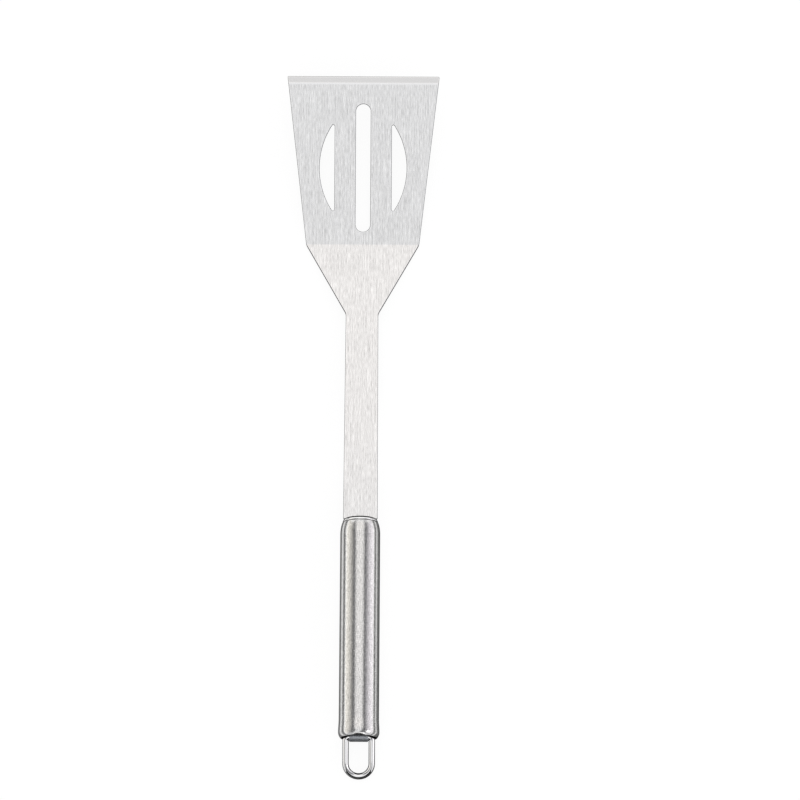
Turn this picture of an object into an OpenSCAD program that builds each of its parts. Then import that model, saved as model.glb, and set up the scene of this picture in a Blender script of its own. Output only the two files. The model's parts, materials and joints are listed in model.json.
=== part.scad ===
// Grill spatula: one sheet-steel stamping, with a slotted blade, a neck and a
// shank, on a tubular handle that ends in a swinging wire loop.
// +Y runs from the tail to the blade's front edge, and +Z is up. The spatula
// lies as on a table: its heel, the tail of its handle and the end of the
// hanging loop touch z = 0, and the handle's axis is level.

/* [Blade] */
// Width across the blade's front edge
blade_front_w = 74; // [56:0.5:110]
// Width across the heel, where the neck is bent up into the blade
blade_heel_w = 54.8; // [50:0.1:90]
// Length of the flat blade from the heel bend to the front edge
blade_len = 81.7; // [76:0.1:120]
// Angle between the blade and the table
blade_rise = 12.6; // [4:0.1:25]
// Thickness of the sheet that the stamping is cut from
sheet_t = 1.5; // [1:0.1:2]
// Length of the bevel ground on the front edge
bevel_len = 3.3; // [1:0.1:6]
// Thickness left at the front edge
front_edge_t = 0.5; // [0.2:0.1:0.8]
// Inside radius of the bend at the heel
heel_bend_r = 2.5; // [1:0.5:6]
// Radius of the outline's corners at the heel
heel_corner_r = 6; // [2:0.5:12]

/* [Slots] */
// Distance from the front edge back to the middle of all three slots
slots_back = 44.7; // [40:0.1:46]
// Width of the middle slot
middle_slot_w = 7.2; // [5:0.1:9]
// Length of the middle slot over its round ends
middle_slot_len = 62.4; // [30:0.1:66]
// Metal between the middle slot and each side slot
slot_land = 10.3; // [6:0.1:11]
// Depth of a side slot, from its straight side to the top of its arc
side_slot_depth = 7.3; // [5:0.1:8]
// Radius of a side slot's arc
side_slot_r = 38.5; // [30:0.5:50]
// Radius of a side slot's corners
side_slot_corner_r = 0.7; // [0.4:0.1:1.2]

/* [Neck and shank] */
// Length of the tapered neck, from the shank to the heel
neck_len = 35.9; // [25:0.1:60]
// Length of the shank from the handle to the neck
shank_len = 103.2; // [60:0.1:160]
// Width of the shank where the neck begins
shank_front_w = 15.6; // [13:0.1:20]
// Width of the shank at the handle
shank_back_w = 16.4; // [13:0.1:17]
// Straight stretch of the shank next to the handle, before its slow curve
shank_straight = 4; // [1:0.5:20]
// Radius of the outline where the shank widens into the neck
neck_corner_r = 5; // [2:0.5:12]
// Width of the tang, which goes into the handle
tang_w = 12; // [8:0.1:13]
// Length of the tang behind the front cap's face
tang_len = 25; // [10:0.5:60]
// Radius of the tang's end corners
tang_corner_r = 2; // [0.5:0.1:3.5]

/* [Handle] */
// Outer diameter of the handle tube
handle_d = 19; // [17.5:0.1:24]
// Length of the handle tube
tube_len = 104; // [70:0.1:160]
// Wall of the handle tube
tube_wall = 0.6; // [0.4:0.1:1]
// Length of the rounded nose, from its start on the tube to the cap's face
nose_len = 7.5; // [5:0.1:9]
// Radius of the nose's curve
nose_r = 17.5; // [14:0.5:30]
// Diameter over the bulge at the tail
tail_d = 19.5; // [18:0.1:25]
// Distance from the tail's mouth to the bulge
bulge_len = 2.8; // [1.5:0.1:3.2]
// Radius of the rolled lip between the bulge and the mouth
lip_r = 4.1; // [3.6:0.1:6]
// Length over which the tube swells to the bulge
flare_len = 6.2; // [3:0.1:12]

/* [End caps] */
// Width of the front cap's rim, which shows in front of the tube
cap_rim_len = 2.1; // [1:0.1:3]
// Thickness of the front cap's face
front_cap_t = 1.2; // [0.8:0.1:1.6]
// Wall of both caps' skirts and of the tail cap's face
cap_wall = 0.8; // [0.5:0.1:1]
// Length of the front cap's skirt inside the tube
front_skirt_len = 5; // [3:0.5:15]
// Distance from the tail's mouth in to the tail cap's face
tail_cap_in = 3.3; // [3:0.1:6]
// Length of the tail cap over its face and skirt
tail_cap_len = 6; // [3:0.5:15]

/* [Hanging loop] */
// Diameter of the loop's wire
wire_d = 3; // [2:0.1:3.4]
// Width over the loop's legs
loop_w = 15.4; // [12:0.1:15.6]
// Length from the loop's pivot to the wire's centre at its round end
loop_reach = 19.2; // [16:0.1:45]
// Radius of the wire's centre line at the two corners by the pivot
loop_corner_r = 2; // [1.8:0.1:2.4]
// Distance from the tail's mouth in to the pivot
pivot_in = 0.6; // [0.4:0.1:0.8]
// Thickness of the strap that is rolled round the pivot
strap_t = 0.8; // [0.5:0.1:0.8]
// Width of the strap
strap_w = 8.8; // [5:0.1:8.8]
// Length of the strap's ends, spread behind the tail cap
clinch_len = 2.6; // [1:0.1:4]

/* [Fits] */
// Gap between pieces that are pushed together and fixed
fixed_gap = 0.05; // [0.02:0.01:0.1]
// Radial running clearance of the loop's wire in the rolled strap
pivot_gap = 0.06; // [0.03:0.01:0.1]

/* [Hidden] */

// Segments of a full turn, and of the short arcs in outlines and profiles
$fn = 96;
arc_steps = 8;
shank_steps = 24;
// How far a cut runs past the metal it goes through
past = 1;

// Radii and heights that the diameters give. The tail's bulge stands on the table.
handle_r = handle_d / 2;
tail_r = tail_d / 2;
axis_z = tail_r;
wire_r = wire_d / 2;

// Places along the handle's axis, measured from the tail's mouth.
cap_face_y = tube_len + cap_rim_len;
neck_y = cap_face_y + shank_len;
heel_y = neck_y + neck_len;

// The heel's bend: its centre height and the radius of the sheet's middle layer.
bend_z = heel_bend_r + sheet_t;
bend_mid_r = heel_bend_r + sheet_t / 2;

// The shank curves down by one long arc, and the straight neck goes on at the
// arc's last slope. Only one slope brings the heel down onto the table. half_tan
// is the tangent of half that slope, found by repeated substitution.
arc_run = shank_len - shank_straight;
function half_tan(u, passes) = passes == 0 ? u :
    half_tan((axis_z - bend_z + bend_mid_r * (1 + u * u) / (1 - u * u))
             / (arc_run + 2 * neck_len / (1 - u * u)), passes - 1);
neck_slope = 2 * atan(half_tan(0, 8));
shank_arc_r = arc_run / sin(neck_slope);

// The blade's middle layer starts at the end of the bend.
blade_y = heel_y + bend_mid_r * sin(blade_rise);
blade_z = bend_z - bend_mid_r * cos(blade_rise);
front_y = blade_y + blade_len * cos(blade_rise) + sheet_t / 2 * sin(blade_rise);

// The loop hangs from its pivot until its round end lies on the table.
loop_droop = asin((axis_z - wire_r) / loop_reach);
loop_end_y = pivot_in - loop_reach * cos(loop_droop) - wire_r;
loop_half_w = (loop_w - wire_d) / 2;
bar_half = loop_half_w - loop_corner_r;

// The origin lies under the middle of the whole length.
middle_y = (front_y + loop_end_y) / 2;

// Points of an arc round a centre, from one angle to another.
function arc(centre, r, from, to, steps = arc_steps) =
    [for (i = [0 : steps])
        let (a = from + (to - from) * i / steps)
        centre + r * [cos(a), sin(a)]];

// Points that round the corner p, between its neighbours a and b, to radius r.
function unit(v) = v / norm(v);
function rounded(a, p, b, r) =
    let (u = unit(a - p), v = unit(b - p), half = acos(u * v) / 2,
         centre = p + unit(u + v) * r / sin(half),
         first = p + u * r / tan(half) - centre,
         last = p + v * r / tan(half) - centre)
    [for (i = [0 : arc_steps])
        centre + r * unit(first * (arc_steps - i) + last * i)];

// Moves a piece from the handle's own coordinates to the part's origin.
module place() {
    translate([0, -middle_y, 0]) children();
}

// Turns a solid of revolution from +Z onto the handle's axis.
module on_axis(y) {
    translate([0, y, axis_z]) rotate([-90, 0, 0]) children();
}

// The sheet's middle layer in side view, as [y, z, slope] from tang to front edge.
sheet_line = concat(
    [[cap_face_y - tang_len, axis_z, 0]],
    [for (i = [0 : shank_steps])
        let (a = neck_slope * i / shank_steps)
        [cap_face_y + shank_straight + shank_arc_r * sin(a),
         axis_z - shank_arc_r * (1 - cos(a)), -a]],
    [for (i = [0 : arc_steps])
        let (a = -neck_slope + (blade_rise + neck_slope) * i / arc_steps)
        [heel_y + bend_mid_r * sin(a), bend_z - bend_mid_r * cos(a), a]]);

function off_sheet(p, d) = [p[0] - d * sin(p[2]), p[1] + d * cos(p[2])];
function on_blade(along, d) =
    off_sheet([blade_y + along * cos(blade_rise),
               blade_z + along * sin(blade_rise), blade_rise], d);

// Side view of the bent sheet, with the bevel on the front edge's upper side.
module sheet_profile() {
    upper = [for (p = sheet_line) off_sheet(p, sheet_t / 2)];
    lower = [for (p = sheet_line) off_sheet(p, -sheet_t / 2)];
    front = [on_blade(blade_len - bevel_len, sheet_t / 2),
             on_blade(blade_len, front_edge_t - sheet_t / 2),
             on_blade(blade_len, -sheet_t / 2)];
    polygon(concat(upper, front, [for (i = [len(lower) - 1 : -1 : 0]) lower[i]]));
}

// Right half of the outline seen from above, from the tang's end to the front.
tang_end = [tang_w / 2, cap_face_y - tang_len];
neck_corner = [shank_front_w / 2, neck_y];
heel_corner = [blade_heel_w / 2, heel_y];
shank_corner = [shank_back_w / 2, cap_face_y];
front_corner = [blade_front_w / 2, front_y];
// The outline runs on past the front edge in the line of the blade's sides.
front_past = front_corner + past * unit(front_corner - heel_corner);
right_side = concat(
    rounded([0, tang_end[1]], tang_end, [tang_w / 2, cap_face_y], tang_corner_r),
    [[tang_w / 2, cap_face_y], shank_corner],
    rounded(shank_corner, neck_corner, heel_corner, neck_corner_r),
    rounded(neck_corner, heel_corner, front_corner, heel_corner_r),
    [front_past]);

module outline() {
    left_side = [for (i = [len(right_side) - 1 : -1 : 0])
                    [-right_side[i][0], right_side[i][1]]];
    polygon(concat(right_side, left_side));
}

module middle_slot() {
    straight = middle_slot_len - middle_slot_w;
    square([middle_slot_w, straight], center = true);
    for (end = [-1, 1])
        translate([0, end * straight / 2]) circle(d = middle_slot_w);
}

// A D shape: a straight inner side and a long outer arc, with rounded corners.
module side_slot() {
    flat_x = middle_slot_w / 2 + slot_land;
    arc_x = flat_x + side_slot_depth - side_slot_r;
    corner_x = flat_x + side_slot_corner_r;
    reach = side_slot_r - side_slot_corner_r;
    corner_y = sqrt(pow(reach, 2) - pow(corner_x - arc_x, 2));
    swing = atan2(corner_y, corner_x - arc_x);
    polygon(concat(
        arc([arc_x, 0], side_slot_r, -swing, swing, shank_steps),
        arc([corner_x, corner_y], side_slot_corner_r, swing, 180),
        arc([corner_x, -corner_y], side_slot_corner_r, 180, 360 - swing)));
}

module blade_and_shank() {
    color("gainsboro") place() difference() {
        intersection() {
            translate([-blade_front_w, 0, 0]) rotate([90, 0, 90])
                linear_extrude(2 * blade_front_w) sheet_profile();
            translate([0, 0, -past]) linear_extrude(front_y) outline();
        }
        translate([0, blade_y, blade_z]) rotate([blade_rise, 0, 0])
            translate([0, blade_len - slots_back, -sheet_t])
                linear_extrude(2 * sheet_t) {
                    middle_slot();
                    side_slot();
                    mirror([1, 0]) side_slot();
                }
    }
}

// Radius of the nose's curve at a distance past the nose's start, for a wall
// layer that lies a given depth inside the outer surface.
function nose_radius(past_start, depth = 0) =
    handle_r - nose_r + sqrt(pow(nose_r - depth, 2) - pow(past_start, 2));
nose_y = cap_face_y - nose_len;
tube_nose_len = nose_len - cap_rim_len;
nose_mouth_r = nose_radius(tube_nose_len, tube_wall);

// One side of the tube's wall, from the tail's mouth to the nose.
function tube_side(depth) = concat(
    arc([tail_r - lip_r, bulge_len], lip_r - depth, -asin(bulge_len / lip_r), 0),
    [[handle_r - depth, bulge_len + flare_len]],
    [for (i = [0 : arc_steps])
        let (along = tube_nose_len * i / arc_steps)
        [nose_radius(along, depth), nose_y + along]]);

module handle_tube() {
    inner = tube_side(tube_wall);
    color("silver") place() on_axis(0) rotate_extrude()
        polygon(concat(tube_side(0), [for (i = [len(inner) - 1 : -1 : 0]) inner[i]]));
}

// The rim carries the nose's curve on to the cap's flat face.
module front_cap() {
    skirt_r = nose_mouth_r - fixed_gap;
    rim = [for (i = [0 : arc_steps])
              let (along = tube_nose_len + cap_rim_len * i / arc_steps)
              [nose_radius(along), nose_y + along]];
    color("silver") place() difference() {
        on_axis(0) rotate_extrude() polygon(concat(
            [[0, cap_face_y - front_cap_t],
             [skirt_r - cap_wall, cap_face_y - front_cap_t],
             [skirt_r - cap_wall, tube_len - front_skirt_len],
             [skirt_r, tube_len - front_skirt_len],
             [skirt_r, tube_len]],
            rim,
            [[0, cap_face_y]]));
        translate([0, cap_face_y, axis_z])
            cube([tang_w + 2 * fixed_gap, 2 * tube_len / 3, sheet_t + 2 * fixed_gap],
                 center = true);
    }
}

strap_pair_t = 2 * strap_t;

module tail_cap() {
    cap_r = handle_r - tube_wall - fixed_gap;
    face_y = tail_cap_in + cap_wall;
    color("gray") place() difference() {
        on_axis(0) rotate_extrude() polygon([
            [0, tail_cap_in], [cap_r, tail_cap_in],
            [cap_r, tail_cap_in + tail_cap_len],
            [cap_r - cap_wall, tail_cap_in + tail_cap_len],
            [cap_r - cap_wall, face_y], [0, face_y]]);
        translate([0, face_y, axis_z])
            cube([strap_w + 2 * fixed_gap, 4 * cap_wall, strap_pair_t + 2 * fixed_gap],
                 center = true);
    }
}

// A strip folded round the loop's wire. Its two ends lie together, go through
// the tail cap's slot and are spread behind it.
module hinge_strap() {
    eye_r = wire_r + pivot_gap;
    behind_y = tail_cap_in + cap_wall + fixed_gap;
    color("slategray") place() translate([0, 0, axis_z]) difference() {
        union() {
            translate([-strap_w / 2, pivot_in, 0]) rotate([0, 90, 0])
                cylinder(r = eye_r + strap_t, h = strap_w);
            translate([-strap_w / 2, pivot_in, -strap_t])
                cube([strap_w, behind_y + strap_t - pivot_in, strap_pair_t]);
            translate([-strap_w / 2, behind_y, -strap_t - clinch_len])
                cube([strap_w, strap_t, strap_pair_t + 2 * clinch_len]);
        }
        translate([-strap_w, pivot_in, 0]) rotate([0, 90, 0])
            cylinder(r = eye_r, h = 2 * strap_w);
    }
}

// One corner, leg and half of the round end, on the +X side of the loop.
module loop_half() {
    leg_end = loop_reach - loop_half_w;
    rotate([0, 90, 0]) cylinder(r = wire_r, h = bar_half);
    translate([bar_half, -loop_corner_r, 0])
        rotate_extrude(angle = 90) translate([loop_corner_r, 0]) circle(r = wire_r);
    translate([loop_half_w, -leg_end, 0]) rotate([-90, 0, 0])
        cylinder(r = wire_r, h = leg_end - loop_corner_r);
    translate([0, -leg_end, 0]) rotate([0, 0, -90])
        rotate_extrude(angle = 90) translate([loop_half_w, 0]) circle(r = wire_r);
}

module hanging_loop() {
    color("whitesmoke") place() translate([0, pivot_in, axis_z])
        rotate([loop_droop, 0, 0]) {
            loop_half();
            mirror([1, 0, 0]) loop_half();
        }
}

blade_and_shank();
handle_tube();
front_cap();
tail_cap();
hinge_strap();
hanging_loop();
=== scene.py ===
# %% [markdown]
# # A grill spatula in six pieces
#
# The real tool is a slotted sheet-steel blade with its shank, a tubular handle with two
# pressed caps, a rolled strap and a swinging wire loop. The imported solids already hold
# every place and joint. This lesson gives each solid a finer surface and a finish, and
# then lights the whole as a studio would.

# %% Load the construction
import json
import math

import bmesh
import bpy
import numpy as np
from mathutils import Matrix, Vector
from mathutils.geometry import delaunay_2d_cdt


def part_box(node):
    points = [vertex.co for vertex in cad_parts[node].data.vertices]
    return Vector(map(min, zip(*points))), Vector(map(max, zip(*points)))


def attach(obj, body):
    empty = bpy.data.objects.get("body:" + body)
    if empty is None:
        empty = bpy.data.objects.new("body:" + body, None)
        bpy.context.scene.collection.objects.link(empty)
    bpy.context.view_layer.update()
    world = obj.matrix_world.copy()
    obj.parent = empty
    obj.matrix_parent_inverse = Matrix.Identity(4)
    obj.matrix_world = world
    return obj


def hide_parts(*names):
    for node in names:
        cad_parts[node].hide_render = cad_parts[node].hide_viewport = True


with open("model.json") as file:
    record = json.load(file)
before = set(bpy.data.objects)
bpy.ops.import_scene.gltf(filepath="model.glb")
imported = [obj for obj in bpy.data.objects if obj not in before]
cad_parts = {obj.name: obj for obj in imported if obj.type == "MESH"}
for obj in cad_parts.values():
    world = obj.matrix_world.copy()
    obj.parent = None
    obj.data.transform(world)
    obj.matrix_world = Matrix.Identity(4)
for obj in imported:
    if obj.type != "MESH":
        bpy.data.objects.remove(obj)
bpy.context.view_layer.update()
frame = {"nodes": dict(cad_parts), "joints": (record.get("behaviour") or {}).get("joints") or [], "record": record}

print("nodes:", sorted(frame["nodes"]))

# %% [markdown]
# ## Places that every piece shares
#
# All sizes are in metres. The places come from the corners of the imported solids: the
# handle's axis lies at the middle height of the tube, and distances along the handle
# are counted from the tail's mouth, as a maker would count them on the bench.

# %% Places along the handle
MM = 0.001

tube_low, tube_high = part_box("handle_tube")
tail_mouth_y = tube_low.y
tube_len = tube_high.y - tube_low.y
tail_r = (tube_high.z - tube_low.z) / 2
axis_z = (tube_high.z + tube_low.z) / 2
cap_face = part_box("front_cap")[1].y - tail_mouth_y
blade_low, blade_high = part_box("blade_and_shank")
blade_front_w = blade_high.x - blade_low.x
pivot_y = frame["joints"][0]["pos_m"][1]
print(f"tube {tube_len / MM:.1f} mm, axis at {axis_z / MM:.2f} mm, cap face at {cap_face / MM:.1f} mm")

# %% [markdown]
# ## One way to make a piece
#
# Every surface below is worked out as whole arrays of points and faces. This helper
# puts them into a mesh, turns the shell right side out if its volume comes out
# negative, keeps corners over 35 degrees crisp, and hangs the piece on its body.
# Weighted Normal lets the large flats decide the shading, so the narrow rounds along
# the edges can't bend the light on the flats beside them.

# %% Make a piece from arrays
CRISP = math.radians(35)


def new_mesh(name, points, faces):
    """A mesh from points and faces, and the object in the scene that shows it."""
    mesh = bpy.data.meshes.new(name)
    mesh.from_pydata(np.reshape(points, (-1, 3)).tolist(), [], faces)
    shown = bpy.data.objects.new(name, mesh)
    bpy.context.scene.collection.objects.link(shown)
    return mesh, shown


def make_piece(name, node, points, faces, **marks):
    """Makes the shown piece that stands for one node. Marks are numbers, one a point."""
    mesh, shown = new_mesh(name, points, faces)
    for mark, values in marks.items():
        layer = mesh.attributes.new(mark, "FLOAT", "POINT")
        layer.data.foreach_set("value", np.asarray(values, np.float32).ravel())
    shell = bmesh.new()
    shell.from_mesh(mesh)
    if shell.calc_volume(signed=True) < 0:
        bmesh.ops.reverse_faces(shell, faces=shell.faces)
        shell.to_mesh(mesh)
    open_edges = sum(not edge.is_contiguous for edge in shell.edges)
    volume = shell.calc_volume()
    shell.free()
    mesh.shade_smooth()
    mesh.set_sharp_from_angle(angle=CRISP)
    even = shown.modifiers.new("even_flats", "WEIGHTED_NORMAL")
    even.keep_sharp = True
    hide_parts(node)
    record = frame["record"]
    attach(shown, next(b for b, held in record["behaviour"]["bodies"].items() if node in held))
    print(f"{name}: {len(faces)} faces, {volume / MM**3:.0f} mm3, {open_edges} open edges")
    return shown


# %% [markdown]
# ## Faces of a grid
#
# A grid of points needs only the rule for its faces. Each point is joined with the next
# one in its row and with the two below them. The last column joins the first, except on
# an open sheet.

# %% Faces between the rows of a grid
def grid_faces(rows, columns, rows_close=False, columns_close=True):
    """Quads between neighbouring rows of points, which may close on themselves either way."""
    row = np.arange(rows if rows_close else rows - 1)[:, None]
    column = np.arange(columns if columns_close else columns - 1)[None, :]
    below = (row + 1) % rows
    beside = (column + 1) % columns
    corners = [row * columns + column, row * columns + beside,
               below * columns + beside, below * columns + column]
    return np.stack(corners, axis=-1).reshape(-1, 4).tolist()


def arc(centre, radius, start, end, steps):
    """Points on a circle round centre, from one angle to another in equal steps."""
    angle = np.linspace(start, end, steps + 1)
    return np.stack([centre[0] + radius * np.cos(angle),
                     centre[1] + radius * np.sin(angle)], axis=-1)


# %% [markdown]
# ## The sheet's line in side view
#
# Blade, neck and shank are one stamping of 1.5 mm sheet. In side view its middle layer
# leaves the handle straight, curves slowly down, runs straight along the neck, turns up
# in a tight bend at the heel and runs straight to the front edge. Three slopes and two
# radii say all of it, so the line is a formula of the length along the sheet.

# %% Sizes of the stamping
sheet_t = 1.5 * MM
blade_len = 81.7 * MM
blade_rise = math.radians(12.6)
heel_bend_r = 2.5 * MM
neck_len = 35.9 * MM
shank_straight = 4 * MM

bend_mid_r = heel_bend_r + sheet_t / 2
bend_z = heel_bend_r + sheet_t
cap_face_y = tail_mouth_y + cap_face
blade_y = blade_high.y - blade_len * math.cos(blade_rise) - sheet_t / 2 * math.sin(blade_rise)
heel_y = blade_y - bend_mid_r * math.sin(blade_rise)
neck_y = heel_y - neck_len
arc_run = neck_y - cap_face_y - shank_straight

# Only one slope of the neck brings the heel down onto the table. Its half tangent is
# found by putting each guess back into the formula for the heel's height.
GUESSES = 8
half_tan = 0.0
for _ in range(GUESSES):
    square = half_tan ** 2
    drop = axis_z - bend_z + bend_mid_r * (1 + square) / (1 - square)
    half_tan = drop / (arc_run + 2 * neck_len / (1 - square))
neck_slope = 2 * math.atan(half_tan)
shank_arc_r = arc_run / math.sin(neck_slope)
print(f"neck slope {math.degrees(neck_slope):.2f} deg, shank radius {shank_arc_r / MM:.0f} mm")

# %% The line as a formula
arc_s = shank_straight
neck_s = arc_s + shank_arc_r * neck_slope
bend_s = neck_s + (neck_len - bend_mid_r * math.sin(neck_slope)) / math.cos(neck_slope)
heel_s = bend_s + bend_mid_r * neck_slope
blade_s = heel_s + bend_mid_r * blade_rise
front_s = blade_s + blade_len
print(f"along the sheet: heel {heel_s / MM:.1f} mm, front edge {front_s / MM:.1f} mm")


def on_sheet(x, s, n):
    """Point of the bent sheet: x across, s along its middle layer from the cap's face, n above it.

    Each stretch adds its own rise and run: a straight one adds length times the sine and
    cosine of its slope, and a bend adds its radius times the change of cosine and sine.
    """
    curved = np.clip(s - arc_s, 0, neck_s - arc_s) / shank_arc_r
    flat = np.clip(s - neck_s, 0, bend_s - neck_s)
    bent = np.clip(s - bend_s, 0, blade_s - bend_s) / bend_mid_r - neck_slope
    blade = np.maximum(s - blade_s, 0)
    slope = np.where(s < bend_s, -curved, bent)
    y = (cap_face_y + np.minimum(s, arc_s) + shank_arc_r * np.sin(curved)
         + flat * math.cos(neck_slope)
         + bend_mid_r * (np.sin(bent) + math.sin(neck_slope)) + blade * math.cos(blade_rise))
    z = (axis_z - shank_arc_r * (1 - np.cos(curved)) - flat * math.sin(neck_slope)
         + bend_mid_r * (math.cos(neck_slope) - np.cos(bent)) + blade * math.sin(blade_rise))
    return np.stack([x, y - n * np.sin(slope), z + n * np.cos(slope)], axis=-1)


# %% [markdown]
# ## The ground front edge
#
# A turner's front edge is ground thin on its upper side, so that it slides under the
# food. The grinding leaves a ramp 3.3 mm long, and polishing eases the ramp's crease. A
# hyperbola joins the two flats: half of (distance + root of distance squared + easing
# squared) is zero well before the crease and the distance itself well after it.

# %% Height of the upper face
bevel_len = 3.3 * MM
front_edge_t = 0.5 * MM
crease_ease = 0.3 * MM
crease_s = front_s - bevel_len
bevel_fall = (sheet_t - front_edge_t) / bevel_len
print(f"the bevel starts {crease_s / MM:.1f} mm along the sheet")


def upper_face(s):
    """Height of the upper face over the middle layer, with the bevel at the front."""
    past = s - crease_s
    return sheet_t / 2 - bevel_fall * (past + np.sqrt(past ** 2 + crease_ease ** 2)) / 2


# %% [markdown]
# ## The outline and the slots
#
# A press cuts the outline and the three slots from flat sheet. Each is a closed path of
# straight sides and round corners, given by its corner points and their radii. The
# outline turns left and the slots turn right, so that the metal always lies on the left
# of the path, and one rule can step into the metal from any of them.

# %% Closed paths with round corners
CORNER_STEPS = 14


def rounded_path(corners):
    """Closed path through corners given as (x, s, radius), each rounded by a circle's arc.

    The arc's centre lies on the bisector of the two sides, radius / sin(half angle) away
    from the corner, and the arc touches each side.
    """
    stretches = []
    for at, (x, s, radius) in enumerate(corners):
        corner = np.array([x, s])
        to_last = np.array(corners[at - 1][:2]) - corner
        to_next = np.array(corners[(at + 1) % len(corners)][:2]) - corner
        to_last /= np.linalg.norm(to_last)
        to_next /= np.linalg.norm(to_next)
        half = math.acos(np.dot(to_last, to_next)) / 2
        middle = (to_last + to_next) / np.linalg.norm(to_last + to_next)
        centre = corner + middle * radius / math.sin(half)
        first = corner + to_last * radius / math.tan(half) - centre
        last = corner + to_next * radius / math.tan(half) - centre
        share = np.linspace(0, 1, CORNER_STEPS + 1)[:, None]
        turn = math.pi - 2 * half
        stretches.append(centre + (first * np.sin((1 - share) * turn)
                                   + last * np.sin(share * turn)) / math.sin(turn))
    return np.concatenate(stretches)


def left_of(direction):
    """Vectors of length one, square to the given directions and on their left."""
    unit = direction / np.linalg.norm(direction, axis=1, keepdims=True)
    return np.stack([-unit[:, 1], unit[:, 0]], axis=-1)


def into_metal(path, distance):
    """The path moved into the metal on its left, square to each side and mitred at corners."""
    left = left_of(np.roll(path, -1, axis=0) - path)
    before = np.roll(left, 1, axis=0)
    mitre = (left + before) / (1 + np.sum(left * before, axis=1, keepdims=True))
    return path + mitre * distance


# %% The outline of the stamping
shank_front_w = 15.6 * MM
shank_back_w = 16.4 * MM
blade_heel_w = 54.8 * MM
tang_w = 12 * MM
tang_len = 25 * MM
tang_end_r = 2 * MM
tang_root_r = 0.3 * MM
small_corner_r = 0.6 * MM
neck_corner_r = 5 * MM
heel_corner_r = 6 * MM

right_side = [
    (tang_w / 2, -tang_len, tang_end_r),
    (tang_w / 2, 0, tang_root_r),
    (shank_back_w / 2, 0, small_corner_r),
    (shank_front_w / 2, neck_s, neck_corner_r),
    (blade_heel_w / 2, heel_s, heel_corner_r),
    (blade_front_w / 2, front_s, small_corner_r),
]
outline = rounded_path(right_side + [(-x, s, radius) for x, s, radius in right_side[::-1]])
print(f"outline: {len(outline)} points, {np.ptp(outline[:, 1]) / MM:.1f} mm long when flat")

# %% The three slots
slots_from_front = 44.7 * MM
slots_s = front_s - slots_from_front
middle_slot_w = 7.2 * MM
middle_slot_len = 62.4 * MM
bar_w = 10.3 * MM
side_slot_x = middle_slot_w / 2 + bar_w
side_slot_depth = 7.3 * MM
side_slot_r = 38.5 * MM
side_slot_corner_r = 0.7 * MM
SLOT_END_STEPS, D_CORNER_STEPS, D_ARC_STEPS = 40, 16, 48


def middle_slot():
    """Two half circles, a straight apart, turning right."""
    half_w = middle_slot_w / 2
    reach = middle_slot_len / 2 - half_w
    front = arc((0, slots_s + reach), half_w, math.pi, 0, SLOT_END_STEPS)
    back = arc((0, slots_s - reach), half_w, 0, -math.pi, SLOT_END_STEPS)
    return np.concatenate([front, back])


def side_slot(side):
    """A D: one long arc outside, a straight side inside, and two small corner arcs."""
    arc_x = side_slot_x + side_slot_depth - side_slot_r
    corner_x = side_slot_x + side_slot_corner_r
    corner_up = math.sqrt((side_slot_r - side_slot_corner_r) ** 2 - (corner_x - arc_x) ** 2)
    swing = math.atan2(corner_up, corner_x - arc_x)
    d_shape = np.concatenate([
        arc((corner_x, corner_up), side_slot_corner_r, math.pi, swing, D_CORNER_STEPS),
        arc((arc_x, 0), side_slot_r, swing, -swing, D_ARC_STEPS)[1:-1],
        arc((corner_x, -corner_up), side_slot_corner_r, -swing, -math.pi, D_CORNER_STEPS)])
    facing = d_shape if side > 0 else d_shape[::-1] * [-1, 1]
    return facing + [0, slots_s]


slots = [middle_slot(), side_slot(1), side_slot(-1)]
print("points round each slot:", [len(path) for path in slots])

# %% [markdown]
# ## Rows where the sheet bends
#
# Between two straight rulings a bent sheet is flat, so the face needs rows of points
# only where it bends: along the shank's slow curve, in the heel and over the bevel's
# crease. Each row starts and ends on the path, so the path gets a point wherever a row
# crosses one of its sides. Rows crowd at the crease, by a hyperbolic sine of even steps.

# %% Put a point on the path at every row
SHANK_ROWS, HEEL_ROWS, CREASE_ROWS = 29, 11, 13
crease_span = 2

shank_rows = np.linspace(arc_s, neck_s, SHANK_ROWS)
heel_rows = np.linspace(bend_s, blade_s, HEEL_ROWS)
crease_rows = crease_s + crease_ease * np.sinh(np.linspace(-crease_span, crease_span, CREASE_ROWS))
rows = np.concatenate([shank_rows, heel_rows, crease_rows])
print("rows across the sheet:", len(rows))


def cross_rows(path):
    """Adds to the path the points where its sides cross the rows, found by proportion."""
    after = np.roll(path, -1, axis=0)
    gap = path[:, None, 1] - rows
    gap_after = after[:, None, 1] - rows
    side, row = np.nonzero(gap * gap_after < 0)
    share = gap[side, row] / (gap[side, row] - gap_after[side, row])
    new = path[side] + (after[side] - path[side]) * share[:, None]
    order = np.argsort(np.concatenate([np.arange(len(path)), side + share]), kind="stable")
    return np.concatenate([path, new])[order]


# %% [markdown]
# ## Rounded rims
#
# Tumbling takes the burr off a stamped edge and leaves a round of a quarter of a
# millimetre. A rim is a short profile carried along the path: over the upper round,
# down the wall and under the lower round. Two more rings, a little way in, keep the
# round's shading off the flats. The marks paint light and shade into the colour: a light
# line on the flat just inside the round, for wear from use and as a painted highlight,
# and a dark round and wall, for the torn metal of the cut and as painted shade.

# %% The rim's profile
rim_r = 0.24 * MM
rim_margin = 0.12 * MM
crease_highlight_reach = 1.5 * crease_ease
RIM_POINTS = 6
round_angle = np.linspace(math.pi / 2, 0, RIM_POINTS)

round_in = rim_r * (1 - np.cos(round_angle))
round_down = rim_r * (1 - np.sin(round_angle))
upper_in = np.concatenate([[rim_r + 2 * rim_margin, rim_r + rim_margin], round_in])
upper_down = np.concatenate([[0, 0], round_down])
# Which rings get the light line of wear and painted highlight, and which get the dark of cut metal and painted
# shade.
upper_wear_and_highlight = np.array([0, 1, 1, 0, 0, 0, 0, 0])
upper_cut = np.array([0, 0, 0, 1, 1, 1, 1, 1])

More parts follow.
